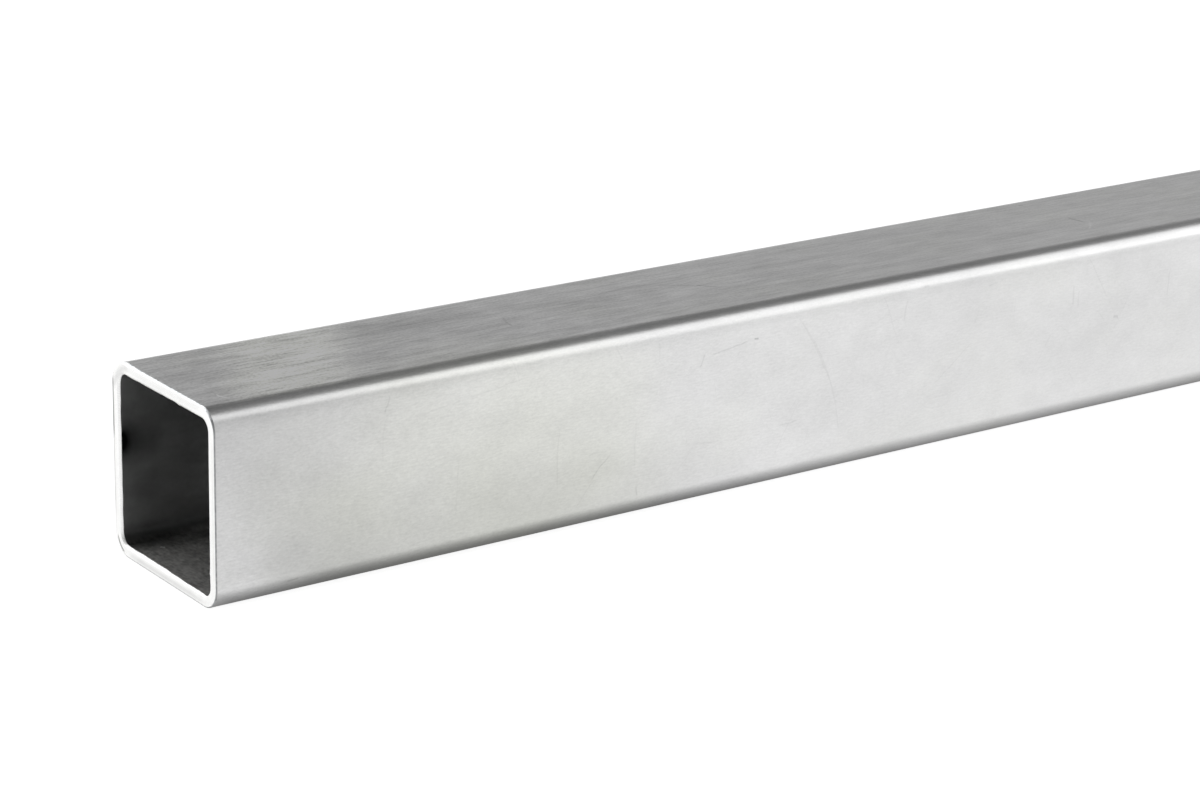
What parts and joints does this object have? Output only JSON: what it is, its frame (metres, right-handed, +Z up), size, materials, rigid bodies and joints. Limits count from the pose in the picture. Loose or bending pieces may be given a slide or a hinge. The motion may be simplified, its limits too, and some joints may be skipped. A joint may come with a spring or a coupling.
{
  "type": "aluminum rectangular hollow section",
  "caption": "Length of square aluminium hollow section with rounded corners and deburred sawn ends, bar stock for frames, legs and rails.",
  "frame": {"origin": "on the floor under the middle of the bar, at the centre of the bottom face", "axes": "+X along the bar towards its far cut end, +Y across it to the back face, +Z up to the top face"},
  "size_m": [1, 0.05, 0.05],
  "materials": {
    "mill_aluminium": "mill finish, lightly brushed along the bar, with fine handling scratches"
  },
  "bodies": {
    "root": {"hollow_section": "mill_aluminium"}
  },
  "joints": []
}
